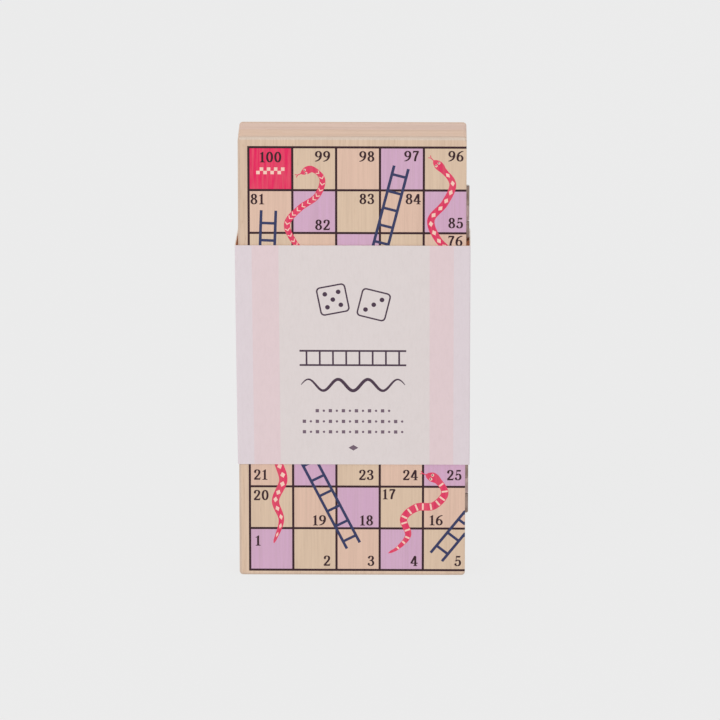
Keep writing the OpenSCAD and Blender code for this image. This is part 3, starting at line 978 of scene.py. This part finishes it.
def sleeve_drawing(inks_):
    pink, lilac, purple, soft = inks_
    d = Drawing()
    hi = S_Z1 - S_Z0

    edges = (-44.1, -32.3, 34.0, 44.6)
    d.add(pink, rect(on_front(edges[1]), -1, on_front(edges[0]), hi + 1))
    d.add(pink, rect(on_front(edges[3]), -1, on_front(edges[2]), hi + 1))
    # the sides, and the same bands again behind
    r0 = S_RUNS[0]
    back_a = lambda x: r0[0] + x + LAP
    r8 = S_RUNS[8]
    back_b = lambda x: r8[0] + x - (XL + FOLD_R)
    d.add(lilac, rect(back_a(44.6), -1, on_front(edges[3]), hi + 1))
    d.add(lilac, rect(on_front(edges[0]), -1, back_b(-44.1), hi + 1))
    d.add(pink, rect(back_a(34.0), -1, back_a(44.6), hi + 1))
    d.add(pink, rect(back_b(-44.1), -1, back_b(-32.3), hi + 1))

    def loop(points):
        return [(on_front(x), z) for x, z in points]

    def put(points, ink=purple):
        d.add(ink, loop(points))

    def turned(cx, cz, a, points):
        c, s = math.cos(math.radians(a)), math.sin(math.radians(a))
        return [(cx + c * x - s * z, cz + s * x + c * z) for x, z in points]
    # two dice
    for cx, cz, a, n in ((-8.6, 75.5, 11, 5), (9.4, 73.2, -14, 3)):
        outer = rounded(-6.6, -6.6, 6.6, 6.6, (1.9,) * 4, 5)
        inner = rounded(-5.9, -5.9, 5.9, 5.9, (1.3,) * 4, 5)
        d.add(purple, loop(turned(cx, cz, a, outer)), loop(turned(cx, cz, a, inner)))
        for px, pz in {5: ((-3, -3), (3, 3), (-3, 3), (3, -3), (0, 0)), 3: ((-3, -3), (0, 0), (3, 3))}[n]:
            put(turned(cx, cz, a, oval((px, pz), 1.05, 1.05, n=16)))
    # a ladder lying down
    for z in (52.1, 45.6):
        put(bar((-23.5, z), (23.7, z), 0.85))
    for k in range(8):
        x = -20.4 + 5.85 * k
        put(bar((x, 45.6), (x, 52.1), 0.8))
    # a wavy line that tapers to both ends
    xs = np.linspace(-23.0, 23.2, 90)
    mid = 36.5 + 2.6 * np.sin((xs + 23.0) / 46.2 * 2 * math.pi * 3.5)
    half = 0.12 + 0.62 * np.sin(np.linspace(0, math.pi, 90)) ** 0.6
    t = np.gradient(np.stack([xs, mid], axis=1), axis=0)
    n = np.stack([-t[:, 1], t[:, 0]], axis=1) / np.hypot(*t.T)[:, None]
    line = np.stack([xs, mid], axis=1)
    put(list(line - n * half[:, None]) + list((line + n * half[:, None])[::-1]))
    # rows of small squares, like the board's
    for z, count in ((24.7, 12), (19.8, 16), (15.0, 16)):
        for k in range(count):
            x = 0.1 + (k - (count - 1) / 2) * 2.9
            put(rect(x - 0.75, z - 0.75, x + 0.75, z + 0.75) if k % 2 == 0 else oval((x, z), 0.55, 0.55, n=12), soft)
    put(framed((0.1, 7.7), (1, 0), [(-2.2, 0), (0, -1.3), (2.2, 0), (0, 1.3)]), soft)
    return d


def make_sleeve():
    pale, pink, lilac, purple, kraft, cut, soft = (
        card("card_pale", scaled(srgb(220, 210, 209), GAIN), 0.5, 0.5), card("card_pink", scaled(srgb(223, 202, 205), GAIN), 0.5, 0.5),
        card("card_lilac", scaled(srgb(220, 208, 213), GAIN), 0.5, 0.5), card("card_ink", scaled(srgb(68, 46, 66), GAIN), 0.45, 0.5),
        # the kraft inside glows a little: painted light in the shaded gaps between the band and the case
        card("card_kraft_painted_glow", scaled(srgb(228, 172, 134), GAIN), 0.75, 1.6, 0.3, 0.13), card("card_cut", scaled(srgb(236, 228, 221), GAIN), 0.7, 1.2, 0.3),
        card("card_ink_soft", scaled(srgb(112, 92, 107), GAIN), 0.45, 0.5))
    drawing = sleeve_drawing((1, 2, 3, 6))
    hi = S_Z1 - S_Z0
    ups = np.linspace(0, hi, 10)[1:-1]
    alongs = set()
    for a, b, run in S_RUNS:
        if run[0] == "bend":
            alongs |= {a + (b - a) * k / 6 for k in range(7)}
        else:
            alongs |= {a + 0.35, b - 0.35}
            alongs |= set(np.linspace(a, b, max(int((b - a) / 14), 2) + 1)[1:-1])
    last = S_RUNS[-1]
    lap_start = last[0] - 10.4 - (XL + FOLD_R)
    alongs |= {lap_start + 0.45 * k for k in range(8)}
    alongs = sorted(u for u in alongs if 0.01 < u < S_U - 0.01)
    cuts = [((u, 0.0), (u, hi)) for u in alongs] + [((0.0, z), (S_U, z)) for z in ups]
    outline = rect(0, 0, S_U, hi)
    v, f, ink = partition(outline, drawing, cuts)
    loop, _ = border(f)
    plain = Drawing()
    # the inner face keeps the outer face's edge points, so that the two meet along the cut edges
    vi, fi, _ = partition(v[loop], plain, cuts)
    loop_i, _ = border(fi)
    verts = [sleeve_point(u, S_Z0 + z, CARD / 2) for u, z in v] + [sleeve_point(u, S_Z0 + z, -CARD / 2) for u, z in vi]
    base = len(v)
    key = {(round(vi[i][0], 4), round(vi[i][1], 4)): base + i for i in loop_i}
    inner_loop = [key[(round(v[i][0], 4), round(v[i][1], 4))] for i in loop]
    faces = [tuple(t) for t in f] + [tuple(base + i for i in t[::-1]) for t in fi]
    slots = list(ink) + [4] * len(fi)
    smooth = [True] * len(faces)
    rim = strip(loop, inner_loop)
    faces += rim
    slots += [5] * len(rim)
    smooth += [False] * len(rim)
    obj = mesh_piece("card_band", verts, faces, [pale, pink, lilac, purple, kraft, cut, soft], slots, smooth)
    outward(obj)
    obj.data.set_sharp_from_angle(angle=math.radians(40))
    return obj


band = place(make_sleeve(), "sleeve", "card_sleeve")
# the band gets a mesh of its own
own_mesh(band)

# ---------------------------------------------------------------- pawns and die
PIECE_Y = -5.95


def lathe(name, profile, cx, cy, cz, mats, n=56):
    verts = [(cx, cy, cz + profile[0][1])]
    for r, z in profile[1:-1]:
        verts += [(cx + r * math.cos(2 * math.pi * k / n), cy + r * math.sin(2 * math.pi * k / n), cz + z) for k in range(n)]
    verts.append((cx, cy, cz + profile[-1][1]))
    faces = [(0, 1 + (k + 1) % n, 1 + k) for k in range(n)]
    for i in range(len(profile) - 3):
        a, b = 1 + i * n, 1 + (i + 1) * n
        faces += [(a + k, a + (k + 1) % n, b + (k + 1) % n, b + k) for k in range(n)]
    a, tip = 1 + (len(profile) - 3) * n, len(verts) - 1
    faces += [(a + k, a + (k + 1) % n, tip) for k in range(n)]
    obj = mesh_piece(name, verts, faces, mats)
    outward(obj)
    obj.data.set_sharp_from_angle(angle=math.radians(50))
    return obj


def pawn_profile():
    p = [(0, 0.25), (3.6, 0.25), (4.1, 0.0), (4.75, 0.0)]
    p += [(4.6 + 0.4 * math.cos(math.radians(a)), 0.4 + 0.4 * math.sin(math.radians(a))) for a in range(-60, 1, 20)]
    p += [(4.2 + 0.8 * math.cos(math.radians(a)), 1.35 + 0.8 * math.sin(math.radians(a))) for a in range(0, 91, 15)]
    p += [(4.02, 2.3)]
    for t in np.linspace(0.0, 1.0, 14):
        r = 3.95 + (1.95 - 3.95) * t - 0.42 * math.sin(math.pi * t)
        p.append((r, 2.5 + 12.1 * t))
    p += [(2.62 + 0.2 * math.cos(math.radians(a)), 15.2 + 0.42 * math.sin(math.radians(a))) for a in range(-80, 91, 20)]
    ball, cz = 3.5, 18.5
    p += [(ball * math.cos(math.radians(a)), cz + ball * math.sin(math.radians(a))) for a in np.linspace(-52, 84, 20)]
    p.append((0, cz + ball))
    return p


for x, name, tone, seed in ((-30, "navy", srgb(42, 52, 96), 1.0), (-16, "pink", srgb(222, 52, 94), 2.0),
                            (-2, "lilac", srgb(190, 146, 190), 3.0), (12, "peach", srgb(232, 176, 142), 4.0)):
    pawn = lathe("pawn_body_%s" % name, pawn_profile(), x, PIECE_Y, WALL, [paint("paint_coat_%s" % name, tone, seed)])
    place(pawn, "pawn_%s" % name, "%s_piece" % name)


def make_die():
    half, r, n = 5.0, 1.25, 44
    cx, cy, cz = 28.0, PIECE_Y, WALL + half
    p = 2.6
    corners = [(-p, -p), (p, p), (-p, p), (p, -p)]
    spots = {(2, 1): corners + [(-p, 0), (p, 0)], (2, -1): [(0, 0)], (1, -1): [(-p, -p), (p, p)],
             (1, 1): corners + [(0, 0)], (0, 1): [(-p, -p), (0, 0), (p, p)], (0, -1): corners}
    verts, faces, pip, index = [], [], [], {}
    for axis in range(3):
        for sign in (-1, 1):
            ids = np.zeros((n + 1, n + 1), int)
            for i in range(n + 1):
                for j in range(n + 1):
                    a, b = -half + 2 * half * i / n, -half + 2 * half * j / n
                    q = np.zeros(3)
                    q[axis], q[(axis + 1) % 3], q[(axis + 2) % 3] = sign * half, a, b
                    inner = np.clip(q, -half + r, half - r)
                    d = q - inner
                    nrm = d / np.linalg.norm(d)
                    pt = inner + nrm * r
                    near = min(math.hypot(a - s, b - t) for s, t in spots[(axis, sign)])
                    if near < 0.98:
                        pt = pt - nrm * 0.5 * (1 - (near / 0.98) ** 2)
                    key = tuple(np.round(pt, 5))
                    if key not in index:
                        index[key] = len(verts)
                        verts.append((cx + pt[0], cy + pt[1], cz + pt[2]))
                        pip.append(near)
                    ids[i, j] = index[key]
            for i in range(n):
                for j in range(n):
                    faces.append((ids[i, j], ids[i + 1, j], ids[i + 1, j + 1], ids[i, j + 1]))
    m = Mat("die_maple")
    at = m.nt.nodes.new("ShaderNodeAttribute")
    at.attribute_name = "pip"
    tone = srgb(226, 204, 176)
    fibre = m.noise(m.mapped((2200, 2200, 90), (3, 1, 5)), 2, 0.5)
    band_ = m.noise(m.mapped((300, 300, 20), (1, 4, 2)), 3, 0.5)
    bare = m.mix(1.0, m.ramp(band_, (0.3, scaled(tone, 0.9)), (0.7, scaled(tone, 1.04))),
                 m.ramp(fibre, (0.3, (0.92, 0.91, 0.89)), (0.6, (1.02, 1.02, 1.02))), "MULTIPLY")
    ink = m.mix(1.0, srgb(42, 52, 96), m.ramp(fibre, (0.3, (0.85, 0.85, 0.85)), (0.7, (1.1, 1.1, 1.1))), "MULTIPLY")
    edge = m.nt.nodes.new("ShaderNodeMath")
    edge.operation = "LESS_THAN"
    m.link(at.outputs["Fac"], edge.inputs[0])
    edge.inputs[1].default_value = 0.93
    m.base(m.mix(edge.outputs[0], bare, ink))
    m.set(Roughness=m.span(fibre, 0.36, 0.5))
    m.bump(fibre, 0.12, 0.00006)
    obj = mesh_piece("die_cube", verts, faces, [m.m])
    outward(obj)
    data = obj.data.attributes.new("pip", "FLOAT", "POINT")
    data.data.foreach_set("value", np.array(pip, np.float32))
    return obj


place(make_die(), "die", "die_piece")

# ---------------------------------------------------------------- stage, light, camera
BACKDROP = srgb(235, 235, 235)


def floor():
    m = bpy.data.materials.new("studio_floor")
    m.use_nodes = True
    nt = m.node_tree
    nt.nodes.clear()
    out = nt.nodes.new("ShaderNodeOutputMaterial")
    mix = nt.nodes.new("ShaderNodeMixShader")
    mix.inputs[0].default_value = 0.08
    glow = nt.nodes.new("ShaderNodeEmission")
    glow.inputs["Color"].default_value = BACKDROP
    glow.inputs["Strength"].default_value = 1.008
    flat = nt.nodes.new("ShaderNodeBsdfDiffuse")
    flat.inputs["Color"].default_value = (0.82, 0.82, 0.82, 1)
    nt.links.new(glow.outputs[0], mix.inputs[1])
    nt.links.new(flat.outputs[0], mix.inputs[2])
    nt.links.new(mix.outputs[0], out.inputs["Surface"])
    n, r = 96, 6000.0
    verts = [(0, 0, -0.02)] + [(r * math.cos(2 * math.pi * k / n), r * math.sin(2 * math.pi * k / n), -0.02) for k in range(n)]
    obj = mesh_piece("floor", verts, [(0, 1 + k, 1 + (k + 1) % n) for k in range(n)], [m], smooth=[False] * n)


floor()
world = bpy.data.worlds.new("studio")
scene.world = world
world.use_nodes = True
bg = world.node_tree.nodes.get("Background") or world.node_tree.nodes.new("ShaderNodeBackground")
bg.inputs["Color"].default_value = BACKDROP
bg.inputs["Strength"].default_value = 1.02


def area(name, at, target, size, power):
    data = bpy.data.lights.new(name, "AREA")
    data.shape = "RECTANGLE"
    data.size, data.size_y = size
    data.energy = power
    obj = bpy.data.objects.new(name, data)
    obj.location = at
    obj.rotation_euler = (Vector(target) - Vector(at)).to_track_quat("-Z", "Y").to_euler()
    scene.collection.objects.link(obj)


area("key", (-0.62, -0.85, 0.55), (0, 0, 0.1), (0.7, 0.7), 2.7)
area("fill", (1.1, -1.2, 0.5), (0, 0, 0.1), (0.9, 0.9), 1.0)
area("back_light", (0.3, 1.2, 0.9), (0, 0, 0.1), (0.8, 0.8), 1.5)

cam = bpy.data.cameras.new("photo_camera")
cam.lens = 338.95
cam.sensor_width = 36.0
cam.sensor_fit = "HORIZONTAL"
cam.clip_start, cam.clip_end = 0.05, 50.0
eye_at = bpy.data.objects.new("photo_camera", cam)
scene.collection.objects.link(eye_at)
target = Vector((3.29, 0.0, 95.09)) * MM
tilt, turn, far = math.radians(15.73), math.radians(0.60), 3.0
eye_at.location = target + far * Vector((math.sin(turn) * math.cos(tilt), -math.cos(turn) * math.cos(tilt), math.sin(tilt)))
eye_at.rotation_euler = (target - eye_at.location).to_track_quat("-Z", "Y").to_euler()
scene.camera = eye_at
scene.view_settings.view_transform = "Standard"
scene.view_settings.look = "None"
